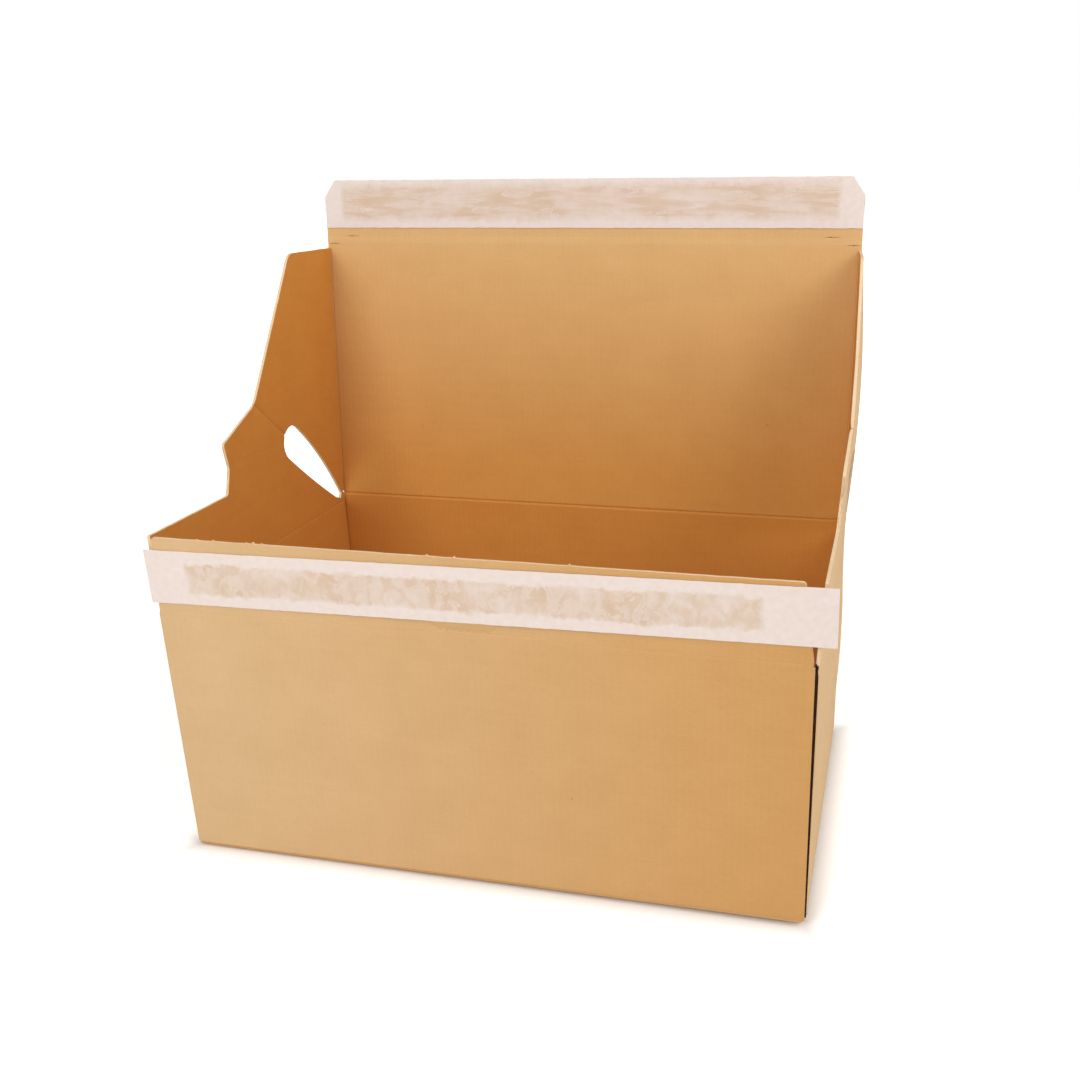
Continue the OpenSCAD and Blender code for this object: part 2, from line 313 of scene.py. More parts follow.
def fluted_sheet(bm, loops, place, levels=(), inset=0.00012):
    """The wavy middle paper, as one closed solid for each run of flutes inside the outline.
    The flutes can bend at the levels, which are given along them."""
    uv = bm.loops.layers.uv.verify()
    us = [p[0] for loop in loops for p in loop]
    step = FLUTE_PITCH / 8
    first = math.ceil((min(us) + inset) / step)
    last = math.floor((max(us) - inset) / step)
    middle, swing = BOARD_T / 2, (BOARD_T - 2 * PAPER_T - MEDIUM_T) / 2
    runs, before = [], []
    for k in range(first, last + 1):
        u = k * step + 1e-7
        crossings = sorted(
            v0 + (u - u0) * (v1 - v0) / (u1 - u0)
            for loop in loops for (u0, v0), (u1, v1) in zip(loop, loop[1:] + loop[:1])
            if (u0 > u) != (u1 > u))
        spans = [(a + inset, b - inset) for a, b in zip(crossings[::2], crossings[1::2]) if b - a > 3 * inset]
        height = middle + swing * math.sin(2 * math.pi * u / FLUTE_PITCH)
        column = []
        for i, (a, b) in enumerate(spans):
            line = [(u, v) for v in [a] + [min(max(level, a), b) for level in levels] + [b]]
            ring = [(*p, height - MEDIUM_T / 2) for p in line]
            ring += [(*p, height + MEDIUM_T / 2) for p in reversed(line)]
            run = before[i] if len(before) == len(spans) else []
            if run and (a > run[-1][len(levels) + 1][1] or b < run[-1][0][1]):
                run = []
            if not run:
                runs.append(run)
            run.append(ring)
            column.append(run)
        before = column

    def face(corners, where):
        made = bm.faces.new(corners)
        made.material_index = FLUTING
        made.smooth = True
        for loop, point in zip(made.loops, where):
            loop[uv].uv = point[:2]

    for run in runs:
        if len(run) < 2:
            continue
        rings = [[bm.verts.new(place(*p)) for p in ring] for ring in run]
        for (old, old_at), (new, new_at) in zip(zip(rings, run), zip(rings[1:], run[1:])):
            for i in range(len(old)):
                j = (i + 1) % len(old)
                face([old[i], new[i], new[j], old[j]], (old_at[i], new_at[i], new_at[j], old_at[j]))
        face(list(reversed(rings[0])), list(reversed(run[0])))
        face(rings[-1], run[-1])


def inset_loop(loop, loops, distance):
    """A loop of the outline moved into the board by a distance."""
    moved = []
    for i, here in enumerate(loop):
        before, after = Vector(loop[i - 1]), Vector(loop[(i + 1) % len(loop)])
        here = Vector(here)
        a, b = (here - before).normalized(), (after - here).normalized()
        across = (Vector((-a.y, a.x)) + Vector((-b.y, b.x))).normalized()
        middle = (here + after) / 2 + Vector((-b.y, b.x)) * 1e-5
        way = 1 if within(middle.x, middle.y, loops) else -1
        stretch = min(2.5, 1 / max(0.2, across.dot(Vector((-b.y, b.x)))))
        moved.append(here + across * (way * distance * stretch))
    return moved


def crushed_rim(bm, loops, place):
    """The die crushes the flutes along a cut, which closes the board a little inside its edge."""
    uv = bm.loops.layers.uv.verify()
    for loop in loops:
        rings = []
        for distance, height in ((0.00005, PAPER_T - 0.00004), (0.00005, BOARD_T - PAPER_T + 0.00004),
                                 (0.0002, BOARD_T - PAPER_T + 0.00004), (0.0002, PAPER_T - 0.00004)):
            flat = inset_loop(loop, loops, distance)
            rings.append((flat, [bm.verts.new(place(p.x, p.y, height)) for p in flat]))
        for (flat_a, ring_a), (flat_b, ring_b) in zip(rings, rings[1:] + rings[:1]):
            for i in range(len(ring_a)):
                j = (i + 1) % len(ring_a)
                face = bm.faces.new([ring_a[i], ring_a[j], ring_b[j], ring_b[i]])
                face.material_index = CUT_EDGE
                for corner, where in zip(face.loops, (flat_a[i], flat_a[j], flat_b[j], flat_b[i])):
                    corner[uv].uv = where


def add_board(bm, loops, place, folds=(), cuts=(), slits=(), levels=()):
    """Both papers and the flutes of a piece of board, on its outline in metres.
    The slits go through the inside paper only."""
    def scored(u, v, h):
        pinch = 0.3 * math.exp(-(fold_distance(u, v, folds) / 0.0011) ** 2) if folds else 0.0
        return place(u, v, BOARD_T - (BOARD_T - h) * (1 - pinch))

    lines = list(cuts) + lines_beside(folds, FOLD_OFFSETS)
    flat, faces = cut_to_outline(loops, lines)
    paper_sheet(bm, flat, faces, scored, BOARD_T - PAPER_T, BOARD_T, folds, (FLUTING, KRAFT))
    if slits:
        flat, faces = cut_to_outline(loops + list(slits), lines)
    paper_sheet(bm, flat, faces, scored, 0.0, PAPER_T, folds, (KRAFT_INSIDE, FLUTING))
    fluted_sheet(bm, loops, scored, levels)
    crushed_rim(bm, loops, scored)


def finish_piece(bm, name, body, nodes=(), skins=BOARD_SKINS, sharp=0.7):
    """Makes the object, with faces outwards and hard edges only where the paper is cut."""
    bmesh.ops.recalc_face_normals(bm, faces=bm.faces)
    for edge in bm.edges:
        if len(edge.link_faces) == 2 and edge.calc_face_angle(0.0) > sharp:
            edge.smooth = False
    mesh = bpy.data.meshes.new(name)
    bm.to_mesh(mesh)
    bm.free()
    mesh.uv_layers[0].name = "board"
    for skin in skins:
        mesh.materials.append(skin)
    piece = bpy.data.objects.new(name, mesh)
    bpy.context.scene.collection.objects.link(piece)
    if body:
        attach(piece, body)
    if nodes:
        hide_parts(*nodes)
    return piece


def folded_line(corners, radius):
    """Outer line of a sheet folded to the right at each corner: point and outward normal at a length."""
    parts, total, here = [], 0.0, Vector(corners[0])
    for i in range(1, len(corners)):
        corner = Vector(corners[i])
        way = (corner - Vector(corners[i - 1])).normalized()
        last = i == len(corners) - 1
        end = corner if last else corner - way * radius
        parts.append((total, "flat", here, way))
        total += (end - here).length
        if not last:
            right = Vector((way.y, -way.x))
            parts.append((total, "fold", end + right * radius, -right))
            total += radius * math.pi / 2
            here = corner + right * radius
    starts = [part[0] for part in parts]

    def at(length):
        i = max([k for k in range(len(parts)) if starts[k] <= length] or [0])
        start, kind, origin, way = parts[i]
        if kind == "flat":
            return origin + way * (length - start), Vector((-way.y, way.x))
        angle = -(length - start) / radius
        turned = Vector((way.x * math.cos(angle) - way.y * math.sin(angle),
                         way.x * math.sin(angle) + way.y * math.cos(angle)))
        return origin + turned * radius, turned
    bends = [start for start, kind, _, _ in parts if kind == "fold"]
    return at, total, bends


def bend_cuts(bends, radius, low, high, steps=6):
    """Cut lines across a fold, so that the paper can turn there."""
    arc = radius * math.pi / 2
    places = [b + arc * k / steps for b in bends for k in range(steps + 1)]
    return [((u, low), (u, high)) for u in places]


wall_at, wall_len, wall_bends = folded_line(
    [(HALF_W, -HALF_D), (-HALF_W, -HALF_D), (-HALF_W, HALF_D), (HALF_W, HALF_D),
     (HALF_W, FRONT_CREASE_Y), (HALF_W - GLUE_TAB_W, FRONT_CREASE_Y)], FOLD_R)
ARC = FOLD_R * math.pi / 2


CORNER_LEAN, CREASE_LEAN, WALL_BELLY = 0.0009, 0.0003, 0.0034
CALM_FROM, CALM_TO = 0.110, SIDE_CREASE_Z - 0.002


def unit(value):
    return min(1.0, max(0.0, value))


def sprung(y, z):
    """How far the right side has sprung outwards: a little at the open corner, most in a belly
    of the wall. Next to nothing is left at the crease and above it, so that the flap folds flat."""
    t = unit((LID_CREASE_Y - y) / (BOX_D - 2 * BOARD_T))
    rise = unit(z / SIDE_CREASE_Z)
    calm = unit((z - CALM_FROM) / (CALM_TO - CALM_FROM))
    lean = CORNER_LEAN * rise ** 0.5 * (1 - calm) + CREASE_LEAN * calm
    belly = WALL_BELLY * math.sin(math.pi * t ** 0.7) ** 1.6 if 0 < t < 1 else 0.0
    return lean * t + belly * math.sin(math.pi * rise ** 1.7)


def wall_place(u, v, h):
    point, out = wall_at(u)
    point = point + out * (h - BOARD_T)
    if u > wall_bends[2] + ARC:
        point.x += sprung(point.y, v)
    return Vector((point.x, point.y, v))


mid_fold = [b + ARC / 2 for b in wall_bends]
SEAM_FOOT, SEAM_TOP = 0.0008, 0.0013
FRONT_FOOT, SIDE_FOOT = FOLD_R, BOARD_T + FOLD_R
front_top, side_top, back_top = (z - CREASE_HALF for z in (FRONT_CREASE_Z, SIDE_CREASE_Z, LID_CREASE_Z))
walls = [
    (SEAM_FOOT, FRONT_FOOT), (mid_fold[0], FRONT_FOOT), (mid_fold[0], SIDE_FOOT),
    (mid_fold[1], SIDE_FOOT), (mid_fold[1], FRONT_FOOT), (mid_fold[2], FRONT_FOOT),
    (mid_fold[2], SIDE_FOOT), (mid_fold[3], SIDE_FOOT), (wall_len, SIDE_FOOT + 0.006),
    (wall_len, side_top - 0.006), (mid_fold[3], side_top), (mid_fold[2], side_top),
    (mid_fold[2], back_top), (mid_fold[1], back_top), (mid_fold[1], side_top),
    (mid_fold[0], side_top), (mid_fold[0], front_top), (SEAM_TOP, front_top)]
carton = bmesh.new()
right_wall = [((u, 0.0), (u, 0.15)) for u in [wall_bends[2] + ARC + 0.0198 * k for k in range(1, 10)]]
WALL_LEVELS = [0.018, 0.036, 0.054, 0.070, 0.084, 0.096, 0.106, 0.115, 0.124]
right_wall += [((wall_bends[2] + ARC, z), (wall_len, z)) for z in WALL_LEVELS]
add_board(carton, [walls], wall_place,
          folds=[((m, SIDE_FOOT), (m, side_top)) for m in mid_fold],
          cuts=bend_cuts(wall_bends, FOLD_R, 0.0, 0.15) + right_wall, levels=WALL_LEVELS)


def seam_shade_material():
    """Near-black brown, mottled: painted shade for the inside of the open joint, laid on as a glue bead."""
    material, tree, shader = principled("painted shade in the open joint")
    place = wire(tree, "TexCoord").outputs["Object"]
    lump = noise_map(tree, place, 300.0, 4.0)
    tone = ramp(tree, lump, 0.35, 0.65)
    colour = mix_colour(tree, tone, (0.016, 0.006, 0.002, 1), (0.040, 0.017, 0.006, 1))
    dress(tree, shader, colour, ramp(tree, lump, 0.3, 0.7, 0.75, 0.95), lump, 0.0002, 0.7)
    shader.inputs["Specular IOR Level"].default_value = 0.1
    return material


def seam_shade_strip():
    """A dark strip down the open joint, beside the front wall's raw edge, shaped as a glue bead. Its colour
    is painted shade for the inside of the joint.
    """
    bm = bmesh.new()
    bm.loops.layers.uv.verify()
    steps = 44
    rings = []
    for k in range(steps + 1):
        z = SIDE_FOOT + (FRONT_CREASE_Z - SIDE_FOOT) * k / steps
        share = k / steps
        left = HALF_W - SEAM_FOOT + (SEAM_FOOT - SEAM_TOP) * share - 0.0001
        right = HALF_W - 0.0001 + 0.0003 * share - 0.0010 * max(0.0, share - 0.96) / 0.04
        waver = 0.00012 * noise.noise(Vector((z * 260, 3.1, 0.4)))
        near, far = -HALF_D + 0.0007 + waver, FRONT_CREASE_Y + 0.0004
        rings.append([bm.verts.new(p) for p in ((left, near, z), (right + waver, near + 0.0002, z),
                                                (right, far, z), (left, far, z))])
    for low, high in zip(rings, rings[1:]):
        for i in range(4):
            j = (i + 1) % 4
            bm.faces.new([low[i], low[j], high[j], high[i]])
    bm.faces.new(list(reversed(rings[0])))
    bm.faces.new(rings[-1])
    return finish_piece(bm, "seam_painted_shade", "carton", ["carton"], skins=(seam_shade_material(),))


seam_shade_strip()


# ---- Bottom of the box -----------------------------------------------------------------
# Four panels folded in from the walls' lower edges. The front and back panels hook into
# each other along a stepped seam, and the two side panels are glued on top of them, so
# that the bottom locks by itself when the box is squared up.
LOCK_REACH, LOCK_HALF_W = 0.014, 0.046
DUST_PANEL_W, DUST_TAPER = 0.074, 0.026
BOTTOM_GAP = 0.0005
base_w = HALF_W - BOARD_T - BOTTOM_GAP


def bottom_seam(gap):
    """The stepped seam between the two main panels, as (x, y) from left to right."""
    return [(-base_w, LOCK_REACH + gap), (-LOCK_HALF_W, LOCK_REACH + gap),
            (-LOCK_HALF_W / 2, -LOCK_REACH + gap), (LOCK_HALF_W / 2, -LOCK_REACH + gap),
            (LOCK_HALF_W, LOCK_REACH + gap), (base_w, LOCK_REACH + gap)]


def fold_rows(bend):
    """Where the board turns round the lower fold, as lengths along the panel."""
    return [bend + ARC * k / 6 for k in range(7)]


def main_panel(seam, facing):
    """A panel that runs from the wall's foot round the lower fold and in to the seam."""
    reach = HALF_D + 0.02
    at, total, bends = folded_line([(reach - HALF_D, 0), (-HALF_D, 0), (-HALF_D, FOLD_R + 0.0001)], FOLD_R)

    def place(u, v, h):
        point, out = at(v)
        point = point + out * (h - BOARD_T)
        return Vector((u, facing * point.x, point.y))

    edge = [(x, reach - HALF_D - facing * y) for x, y in seam]
    outline = edge + [(base_w, total), (-base_w, total)]
    add_board(carton, [outline], place,
              folds=[((-base_w, bends[0] + ARC / 2), (base_w, bends[0] + ARC / 2))],
              cuts=[((-0.17, v), (0.17, v)) for v in fold_rows(bends[0])],
              levels=[bends[0] - 0.003] + fold_rows(bends[0]))


main_panel(bottom_seam(0.0), 1)
main_panel(bottom_seam(BOTTOM_GAP), -1)


def dust_panel(side):
    corners = [(-HALF_W + DUST_PANEL_W + BOARD_T, BOARD_T), (-HALF_W, BOARD_T), (-HALF_W, SIDE_FOOT + 0.0001)]
    at, total, bends = folded_line(corners, FOLD_R)

    def place(u, v, h):
        point, out = at(v)
        point = point + out * (h - BOARD_T)
        return Vector((side * point.x, u, point.y))

    end = HALF_D - BOARD_T - BOTTOM_GAP - 0.0016
    outline = [(-end + DUST_TAPER, 0), (end - DUST_TAPER, 0), (end, DUST_TAPER), (end, total),
               (-end, total), (-end, DUST_TAPER)]
    add_board(carton, [outline], place,
              folds=[((-end, bends[0] + ARC / 2), (end, bends[0] + ARC / 2))],
              cuts=[((-0.11, v), (0.11, v)) for v in fold_rows(bends[0])],
              levels=[bends[0] - 0.003] + fold_rows(bends[0]))


dust_panel(1)
dust_panel(-1)
finish_piece(carton, "carton_board", "carton", ["carton"], WALL_SKINS)


# ---- Front flap ------------------------------------------------------------------------
# A low flap of the same board, scored along the front wall's top, that is tucked in and
# stuck down under the lid. Its corners are rounded and its cut edge is a little ragged.
FLAP_FOOT = HALF_W - 0.002
FLAP_LEFT, FLAP_RIGHT = -HALF_W + 0.0032, HALF_W - 0.0068
FRONT_FLAP_TOP = FRONT_CREASE_Z + 0.039
CORNER_R = 0.002


def rounded(points, steps=6):
    """Outline with each (x, y, r) corner rounded to its radius."""
    line = []
    for i, (x, y, r) in enumerate(points):
        if r == 0:
            line.append((x, y))
            continue
        p = Vector((x, y))
        a = (Vector(points[i - 1][:2]) - p).normalized()
        b = (Vector(points[(i + 1) % len(points)][:2]) - p).normalized()
        half = math.acos(max(-1, min(1, a.dot(b)))) / 2
        centre = p + (a + b).normalized() * (r / math.sin(half))
        start, end = p + a * (r / math.tan(half)) - centre, p + b * (r / math.tan(half)) - centre
        turn = start.angle_signed(end)
        for k in range(steps + 1):
            q = -turn * k / steps
            line.append(tuple(centre + Vector((start.x * math.cos(q) - start.y * math.sin(q),
                                               start.x * math.sin(q) + start.y * math.cos(q)))))
    return line


DIE_STEP, DIE_DEPTH = 0.0035, 0.0001


def ragged(points, spacing, depth, seed, straight=()):
    """Breaks the long edges of an outline into short steps that wander inwards a little, as a die
    cut does. An edge that runs along one of the given fold lines stays straight."""
    draw = random.Random(seed)
    turns = sum(a[0] * b[1] - b[0] * a[1] for a, b in zip(points, points[1:] + points[:1]))
    inward = math.copysign(1.0, turns)
    line = []
    for a, b in zip(points, points[1:] + points[:1]):
        a, b = Vector(a), Vector(b)
        line.append(tuple(a))
        count = int((b - a).length / spacing)
        if count < 3 or any(max(fold_distance(*a, [f]), fold_distance(*b, [f])) < 0.0003 for f in straight):
            continue
        across = Vector((-(b - a).y, (b - a).x)).normalized() * inward
        for k in range(1, count):
            line.append(tuple(a.lerp(b, k / count) + across * draw.uniform(0.0, 1.6 * depth)))
    return line


THUMB_MARK = ((HALF_W + 0.014, 0.1409), (HALF_W - 0.012, 0.1404))
THUMB_DEPTH, THUMB_SPREAD = 0.0006, 0.0011


def flap_plane(u, v, h):
    """The front wall's plane, u from its right end, with a shallow thumb mark under the strip."""
    dent = THUMB_DEPTH * math.exp(-(fold_distance(u, v, [THUMB_MARK]) / THUMB_SPREAD) ** 2)
    return Vector((HALF_W - u, -HALF_D + BOARD_T - h + dent * h / BOARD_T, v))


def crumbs(line, top, seed):
    """Small torn fibres that stand on a cut edge, as short spikes of the outline."""
    draw = random.Random(seed)
    spots = sorted(draw.uniform(-0.155, 0.06) for _ in range(9))
    made = []
    for (u0, v0), (u1, v1) in zip(line, line[1:] + line[:1]):
        made.append((u0, v0))
        if abs(v0 - top) < 0.0004 and abs(v1 - top) < 0.0004:
            for spot in (s for s in reversed(spots) if u1 + 0.001 < s < u0 - 0.001):
                size = draw.uniform(0.0004, 0.0009)
                made += [(spot + size, top), (spot + size * 0.5, top + size * 0.7),
                         (spot - size * 0.2, top + size * 0.9), (spot - size, top)]
    return made


flap = rounded([(-FLAP_FOOT, FRONT_CREASE_Z + CREASE_HALF, 0), (FLAP_FOOT, FRONT_CREASE_Z + CREASE_HALF, 0),
                (FLAP_RIGHT, FRONT_FLAP_TOP, CORNER_R), (FLAP_LEFT, FRONT_FLAP_TOP, CORNER_R)])
flap_foot = ((-FLAP_FOOT, FRONT_CREASE_Z + CREASE_HALF), (FLAP_FOOT, FRONT_CREASE_Z + CREASE_HALF))
flap = crumbs(ragged(flap, 0.006, 0.00012, 3, [flap_foot]), FRONT_FLAP_TOP, 8)
front_flap = bmesh.new()
add_board(front_flap, [[(HALF_W - x, z) for x, z in flap]], flap_plane,
          cuts=lines_beside([THUMB_MARK], [s * d for d in (0.0005, 0.001, 0.0018) for s in (-1, 1)] + [0.0]))
finish_piece(front_flap, "front_flap_board", "front_flap", ["front_flap"], WALL_SKINS)


def crease(name, from_u, to_u, crease_v, place, pinch=0.35, skins=BOARD_SKINS):
    """The scored strip that joins two panels. It bends with them, and both papers run through it."""
    bm = bmesh.new()
    low, high = crease_v - CREASE_HALF, crease_v + CREASE_HALF
    rows = 10

    def scored(u, v, h):
        near = math.exp(-((v - crease_v) / 0.0007) ** 2)
        crumple = 0.00015 * pinch * noise.noise(Vector((u * 900, v * 900, h * 100))) * near
        return place(u, v, BOARD_T - (BOARD_T - h) * (1 - pinch * near) + crumple - 0.0003 * pinch * near)

    outline = [(from_u, low), (to_u, low), (to_u, high), (from_u, high)]
    levels = [low + (high - low) * k / rows for k in range(1, rows)]
    cuts = [((from_u - 0.01, v), (to_u + 0.01, v)) for v in levels]
    steps = max(2, int(abs(to_u - from_u) / 0.004))
    places = [from_u + (to_u - from_u) * k / steps for k in range(1, steps)]
    cuts += [((u, low - 0.001), (u, high + 0.001)) for u in places]
    flat, faces = cut_to_outline([outline], cuts)
    folds = [((from_u, crease_v), (to_u, crease_v))]
    paper_sheet(bm, flat, faces, scored, BOARD_T - PAPER_T, BOARD_T, folds, (FLUTING, KRAFT))
    paper_sheet(bm, flat, faces, scored, 0.0, PAPER_T, folds, (KRAFT_INSIDE, FLUTING))
    piece = finish_piece(bm, name, None, skins=skins)
    low_point, high_point = place((from_u + to_u) / 2, low, 0.0), place((from_u + to_u) / 2, high, 0.0)
    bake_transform(piece)
    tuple(low_point)
    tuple(high_point)


crease("front_crease", 0.002, BOX_W - 0.002, FRONT_CREASE_Z, flap_plane,
       pinch=0.15, skins=WALL_SKINS)


# ---- Side flaps ------------------------------------------------------------------------
# Flaps of the same board on the side walls, which the lid pulls in as it shuts. Each has a
# step in its top edge, and behind it the lower half of the folding web, up to the diagonal
# crease. A teardrop hole frees the corner where the lid, the wing and the flap meet.
FLAP_TOP_Z, STEP_H = 0.177, 0.028
STEP_Y = LID_CREASE_Y - 0.131
WEB_ANGLE, WEB_LEN = math.radians(40), 0.122
HOLE_LEN, HOLE_R, HOLE_NOSE = 0.074, 0.0105, 0.009
UPPER_BOW, LOWER_BOW = 1.3, 0.4
WEB_GAP = 0.00008
END_GAP = 0.0004
SPLAY = math.radians(3.4)


def from_crease(along, above=0.0):
    """Point in a side's plane, along the diagonal crease and above it, as (y, z)."""
    c, s = math.cos(WEB_ANGLE), math.sin(WEB_ANGLE)
    return (LID_CREASE_Y - along * c + above * s, LID_CREASE_Z + along * s + above * c)


def hole_half(along, bow):
    return HOLE_R * (1 - bow * (1 - along / HOLE_LEN) ** 2)


def hole_edge(bow, side, steps=20):
    """Half of the teardrop's edge, from its blunt end to the crease beyond its round end."""
    lengths = [HOLE_NOSE + (HOLE_LEN - HOLE_NOSE) * k / steps for k in range(1, steps + 1)]
    points = [(along, side * hole_half(along, bow)) for along in lengths]
    for k in range(1, 13):
        angle = math.pi / 2 * (1 - k / 12)
        points.append((HOLE_LEN + HOLE_R * math.cos(angle), side * HOLE_R * math.sin(angle)))
    return points


def side_flap_outline():
    near, far = FRONT_CREASE_Y + END_GAP, LID_CREASE_Y - END_GAP
    low = SIDE_CREASE_Z + CREASE_HALF
    hole = [(0.0085, -WEB_GAP), (0.0035, -0.0017), (0.003, -0.0052)]
    hole.append((HOLE_NOSE, -hole_half(HOLE_NOSE, LOWER_BOW)))
    hole = [from_crease(*p) for p in hole + hole_edge(LOWER_BOW, -1)[:-1]]
    start = [(near, low, 0), (far, low, 0), (far, LID_CREASE_Z + END_GAP * math.tan(WEB_ANGLE) - WEB_GAP, 0)]
    end = [(*from_crease(HOLE_LEN + HOLE_R, -WEB_GAP), 0), (*from_crease(WEB_LEN, -WEB_GAP), 0),
           (STEP_Y + 0.0025, FLAP_TOP_Z + STEP_H, CORNER_R),
           (STEP_Y + 0.005, FLAP_TOP_Z + STEP_H / 2, 4 * CORNER_R),
           (STEP_Y, FLAP_TOP_Z, CORNER_R), (near, FLAP_TOP_Z, CORNER_R / 3)]
    return rounded(start + [(*p, 0) for p in hole] + end)


def side_plane(side):
    """Places board on the left (-1) or right (1) side's plane, outer paper outwards.
    The right flap leans out from its crease."""
    def place(u, v, h):
        if side < 0:
            return Vector((-(HALF_W - BOARD_T + h), u, v))
        up = max(0.0, v - SIDE_CREASE_Z)
        lean = SPLAY if v > SIDE_CREASE_Z else 0.0
        return Vector((HALF_W - BOARD_T + h * math.cos(lean) + up * math.sin(lean) + sprung(u, v), u,
                       v - up + up * math.cos(lean) - h * math.sin(lean)))
    return place


WEB_FOLD = (from_crease(HOLE_LEN + HOLE_R), from_crease(WEB_LEN))
for side, word in ((-1, "left"), (1, "right")):
    body = f"{word}_side_flap"
    bm = bmesh.new()
    foot = ((FRONT_CREASE_Y, SIDE_CREASE_Z + CREASE_HALF), (LID_CREASE_Y, SIDE_CREASE_Z + CREASE_HALF))
    outline = ragged(side_flap_outline(), DIE_STEP, DIE_DEPTH, 5 + side, [foot, WEB_FOLD])
    bends = [((-0.11, z), (0.11, z)) for z in (0.15, 0.165, 0.18, 0.195, 0.21)]
    bends += [((y, 0.13), (y, 0.23)) for y in [-0.09 + 0.015 * k for k in range(13)]]
    add_board(bm, [outline], side_plane(side), folds=[WEB_FOLD], cuts=bends)
    finish_piece(bm, f"{word}_side_flap_board", body, [body])
    crease(f"{word}_side_crease", FRONT_CREASE_Y + END_GAP, LID_CREASE_Y - END_GAP,
           SIDE_CREASE_Z, side_plane(side), pinch=0.12)


# ---- Lid -------------------------------------------------------------------------------
# The back wall runs on past its score into the lid, which stands open and leans back a
# little. Its free corners are clipped, and two short nicks at each end start the tear tape.
LID_LEN, LID_LEAN = 0.196, math.radians(6)
CLIP_W, CLIP_H = 0.007, 0.010
WING_LEN = 0.156
STRIP_W = 0.028
TAPE_W, TAPE_DROP = 0.004, 0.005
TAPE_S = LID_LEN - STRIP_W - TAPE_DROP - TAPE_W
NICK_LEN, NICK_W = 0.009, 0.0005
LID_UP = Vector((0, math.sin(LID_LEAN), math.cos(LID_LEAN)))
LID_IN = Vector((0, -math.cos(LID_LEAN), math.sin(LID_LEAN)))
LID_FOOT = Vector((0, LID_CREASE_Y, LID_CREASE_Z))


def lid_plane(u, v, h):
    return LID_FOOT + Vector((u, 0, 0)) + LID_UP * v - LID_IN * h


flat_half = HALF_W - FOLD_R
nicks = []
for from_u, to_u, v in ((HALF_W - 2.5 * NICK_LEN, HALF_W - 1.3 * NICK_LEN, TAPE_S + TAPE_W + NICK_W / 2),
                        (HALF_W - NICK_LEN, HALF_W - 0.0004, TAPE_S - NICK_W / 2)):
    mid_u = (from_u + to_u) / 2
    nicks.append([(from_u, v), (mid_u, v - NICK_W / 2), (to_u, v), (mid_u, v + NICK_W / 2)])
nicks += [[(-u, v) for u, v in reversed(nick)] for nick in nicks]
right_edge = [(flat_half, CREASE_HALF, 0), (flat_half, WING_LEN, 0), (HALF_W, WING_LEN, 0),
              (HALF_W, LID_LEN - CLIP_H, CORNER_R), (HALF_W - CLIP_W, LID_LEN, CORNER_R)]
left_edge = [(-u, v, r) for u, v, r in reversed(right_edge)]
lid_foot = ((-flat_half, CREASE_HALF), (flat_half, CREASE_HALF))
lid_folds = [((s * flat_half, CREASE_HALF), (s * flat_half, WING_LEN)) for s in (-1, 1)]
lid = bmesh.new()
lid_edge = ragged(rounded(right_edge + left_edge), DIE_STEP, DIE_DEPTH, 11, [lid_foot] + lid_folds)
add_board(lid, [lid_edge], lid_plane, slits=nicks)


def lid_fold(side):
    """The rounded fold between the lid and a wing, part of the lid's sheet."""
    def place(u, v, h):
        angle = u / FOLD_R
        r = FOLD_R - BOARD_T + h
        return (LID_FOOT + LID_UP * v + LID_IN * (FOLD_R - BOARD_T - r * math.cos(angle))
                + Vector((side * (flat_half + r * math.sin(angle)), 0, 0)))

    add_board(lid, [[(0, CREASE_HALF), (ARC, CREASE_HALF), (ARC, WING_LEN), (0, WING_LEN)]], place,
              folds=[((ARC / 2, CREASE_HALF), (ARC / 2, WING_LEN))],
              cuts=[((ARC * k / 6, 0), (ARC * k / 6, 0.2)) for k in range(7)])


lid_fold(-1)
lid_fold(1)
# Painted shade and light: the lid's inner face is painted deep orange near its score, like the shaded inside,
# and paler towards its top, where the lamps light it.
KRAFT_LID_PAINTED_LIGHT = kraft("lid inner kraft, painted lighter towards its top", (0.735, 0.360, 0.088), (0.655, 0.302, 0.066), wear=0.2,
                  shade_ramp=(1, 0.02, 0.17, (0.780, 0.500, 0.225), (0.705, 0.430, 0.180)))
LID_SKINS = (KRAFT_OUT, KRAFT_LID_PAINTED_LIGHT, EDGE_PAPER, FLUTE_PAPER)
finish_piece(lid, "lid_board", "lid", ["lid"], LID_SKINS)


def back_to_lid(u, v, h):
    """Straight up the back wall's plane below the score, and up the leaning lid above it."""
    if v <= 0:
        return Vector((u, LID_CREASE_Y + h, LID_CREASE_Z + v))
    return lid_plane(u, v, h)


crease("lid_crease", -HALF_W + 0.0012, HALF_W - 0.0012, 0.0, back_to_lid)


# ---- Lid wings -------------------------------------------------------------------------
# A wing on each edge of the lid, folded forwards, that tapers down to the diagonal crease
# of the web. It folds flat between the lid and the side flap when the lid is shut.
TIP_W, TIP_DROP, TIP_R = 0.052, 0.0046, 0.009
fold_w = FOLD_R - BOARD_T


def on_lid(y, z):
    """A point of a side's plane as (forward from the lid's inner face, up the lid)."""
    dy, dz = y - LID_CREASE_Y, z - LID_CREASE_Z
    c, s = math.cos(LID_LEAN), math.sin(LID_LEAN)
    return (-dy * c + dz * s, dy * s + dz * c)


def wing_outline():
    nose = [(fold_w, CREASE_HALF, 0), (*on_lid(*from_crease(0.0088, WEB_GAP)), 0)]
    hole = [(*on_lid(*from_crease(*p)), 0) for p in hole_edge(UPPER_BOW, 1)[:-1]]
    end = [(*on_lid(*from_crease(HOLE_LEN + HOLE_R, WEB_GAP)), 0),
           (*on_lid(*from_crease(WEB_LEN, WEB_GAP)), 0),
           (TIP_W, WING_LEN - TIP_DROP, TIP_R), (fold_w, WING_LEN, 0)]
    return rounded(nose + hole + end)


